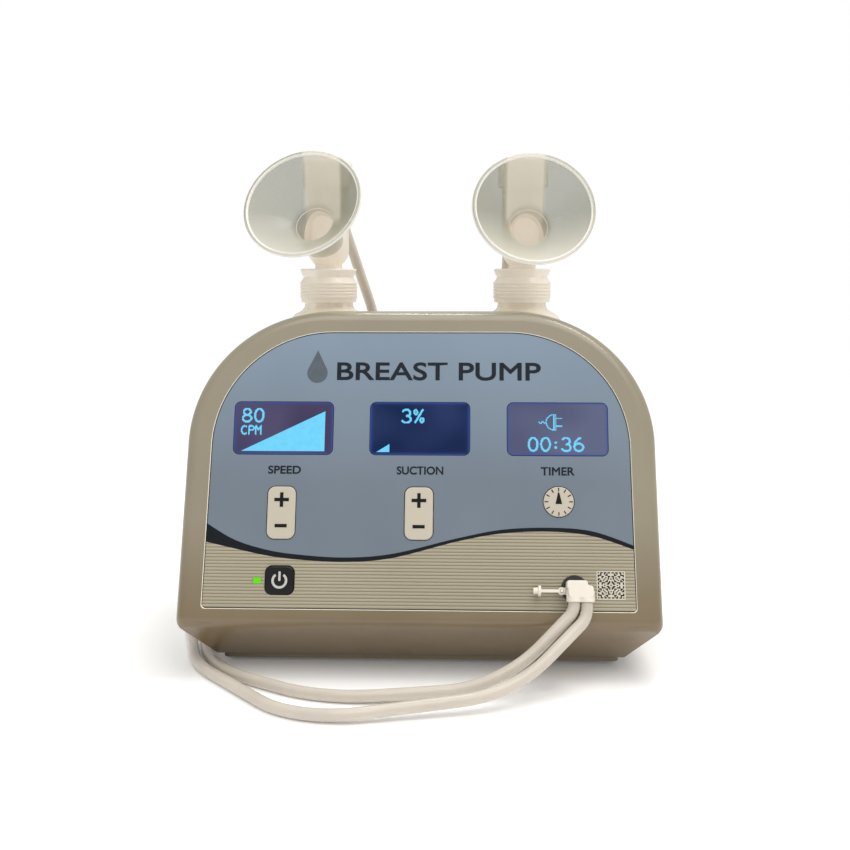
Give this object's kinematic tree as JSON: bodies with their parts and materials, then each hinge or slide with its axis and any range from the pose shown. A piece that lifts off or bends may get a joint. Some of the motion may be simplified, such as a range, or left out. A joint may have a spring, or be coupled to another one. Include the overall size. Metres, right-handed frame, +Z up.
{
  "type": "breast pump",
  "caption": "Double electric breast pump: arched housing with a leaning control panel, tubing connector, and two collection kits standing in wells behind the arch.",
  "frame": {"origin": "on the table, under the middle of the housing's width", "axes": "+X to the right of the front panel, +Y to the back, +Z up"},
  "size_m": [0.3061, 0.2839, 0.3163],
  "materials": {
    "housing_taupe": "fine spark-eroded texture, satin",
    "overlay_blue": "printed polyester sheet, satin",
    "window_clear": "clear polycarbonate",
    "display_blue": "backlit display",
    "key_cream": "satin moulded keys",
    "button_black": "semi-gloss",
    "led_green": "lit green lens",
    "port_black": "satin",
    "connector_white": "satin",
    "tube_silicone": "translucent silicone",
    "flange_frosted": "translucent polypropylene",
    "bottle_clear": "clear bottle",
    "silicone_white": "soft silicone",
    "feet_rubber": "matt rubber",
    "screw_steel": "zinc plated",
    "shaft_steel": "ground",
    "board_green": "circuit board",
    "electronics_dark": "moulded parts",
    "gear_acetal": "acetal",
    "bush_brass": "sintered",
    "cylinder_acetal": "machined",
    "bracket_steel": "zinc plated steel",
    "battery_blue": "shrink sleeve",
    "base_taupe": "satin"
  },
  "bodies": {
    "root": {"front_housing": "housing_taupe", "rear_housing": "housing_taupe", "base_plate": "base_taupe", "rubber_feet": "feet_rubber", "base_screws": "screw_steel", "housing_screws": "screw_steel", "panel_overlay": "overlay_blue", "display_windows": "window_clear", "speed_display": "display_blue", "suction_display": "display_blue", "timer_display": "display_blue", "speed_key_pin": "shaft_steel", "suction_key_pin": "shaft_steel", "power_led": "led_green", "main_board": "board_green", "tact_switches": "electronics_dark", "board_screws": "screw_steel", "pressure_sensor": "electronics_dark", "vacuum_port": "port_black", "port_nut": "port_black", "tube_left": "tube_silicone", "tube_right": "tube_silicone", "shaft_bushes": "bush_brass", "motor": "bracket_steel", "drive_bracket": "bracket_steel", "bracket_screws": "screw_steel", "vacuum_cylinder": "cylinder_acetal", "cylinder_head": "cylinder_acetal", "tie_rods": "screw_steel", "vacuum_valve": "electronics_dark", "internal_hose": "tube_silicone", "power_supply": "board_green", "battery_pack": "battery_blue", "power_inlet": "port_black"},
    "speed_key": {"speed_key": "key_cream"},
    "suction_key": {"suction_key": "key_cream"},
    "timer_button": {"timer_button": "key_cream"},
    "power_button": {"power_button": "button_black"},
    "connector": {"tubing_connector": "connector_white"},
    "plug": {"single_pump_plug": "connector_white"},
    "drive_gear": {"reduction_gear": "gear_acetal", "drive_pinion": "gear_acetal", "gear_shaft": "shaft_steel"},
    "motor_rotor": {"motor_pinion": "bush_brass", "motor_shaft": "shaft_steel"},
    "piston_rod": {"piston_rack": "gear_acetal", "piston": "cylinder_acetal", "piston_seal": "feet_rubber"},
    "left_kit": {"left_bottle": "bottle_clear", "left_adapter_cap": "flange_frosted"},
    "left_flange": {"left_flange_body": "flange_frosted", "left_diaphragm": "silicone_white", "left_duckbill_valve": "silicone_white"},
    "right_kit": {"right_bottle": "bottle_clear", "right_adapter_cap": "flange_frosted"},
    "right_flange": {"right_flange_body": "flange_frosted", "right_diaphragm": "silicone_white", "right_duckbill_valve": "silicone_white"}
  },
  "joints": [
    {"name": "speed_key_rock", "type": "hinge", "parent": "root", "child": "speed_key", "pos_m": [-0.082, -0.07208, 0.09519], "axis": [1, 0, 0], "range_deg": [-2.5, 2.5]},
    {"name": "suction_key_rock", "type": "hinge", "parent": "root", "child": "suction_key", "pos_m": [0, -0.07208, 0.09519], "axis": [1, 0, 0], "range_deg": [-2.5, 2.5]},
    {"name": "timer_button_press", "type": "slide", "parent": "root", "child": "timer_button", "axis": [0, 0.9455, -0.3256], "range_m": [0, 0.0008]},
    {"name": "power_button_press", "type": "slide", "parent": "root", "child": "power_button", "axis": [0, 0.9455, -0.3256], "range_m": [0, 0.001]},
    {"name": "connector_pull", "type": "slide", "parent": "root", "child": "connector", "axis": [0, -0.9455, 0.3256], "range_m": [0, 0.02], "deforming": ["tube_left", "tube_right"]},
    {"name": "plug_swing", "type": "hinge", "parent": "connector", "child": "plug", "pos_m": [0.0835, -0.09685, 0.05613], "axis": [0, -0.9455, 0.3256], "range_deg": [-75, 60]},
    {"name": "drive_gear_turn", "type": "hinge", "parent": "root", "child": "drive_gear", "pos_m": [-0.016, 0.02, 0.059], "axis": [0, 1, 0], "range_deg": [0, 190.99]},
    {"name": "motor_turn", "type": "hinge", "parent": "root", "child": "motor_rotor", "pos_m": [-0.04983, 0.04, 0.07131], "axis": [0, 1, 0], "range_deg": [-573.06, 0]},
    {"name": "piston_stroke", "type": "slide", "parent": "root", "child": "piston_rod", "axis": [-1, 0, 0], "range_m": [0, 0.03001]},
    {"name": "left_kit_lift", "type": "slide", "parent": "root", "child": "left_kit", "axis": [0, 0, 1], "range_m": [0, 0.045], "deforming": ["tube_left"]},
    {"name": "left_flange_turn", "type": "hinge", "parent": "left_kit", "child": "left_flange", "pos_m": [-0.065, 0.028, 0.2555], "axis": [0, 0, 1], "range_deg": [-30, 40]},
    {"name": "right_kit_lift", "type": "slide", "parent": "root", "child": "right_kit", "axis": [0, 0, 1], "range_m": [0, 0.045], "deforming": ["tube_right"]},
    {"name": "right_flange_turn", "type": "hinge", "parent": "right_kit", "child": "right_flange", "pos_m": [0.065, 0.028, 0.2555], "axis": [0, 0, 1], "range_deg": [-40, 30]}
  ],
  "couplings": [
    {"joint": "motor_turn", "follows": "drive_gear_turn", "ratio": -3},
    {"joint": "piston_stroke", "follows": "drive_gear_turn", "m_per_rad": 0.009}
  ]
}
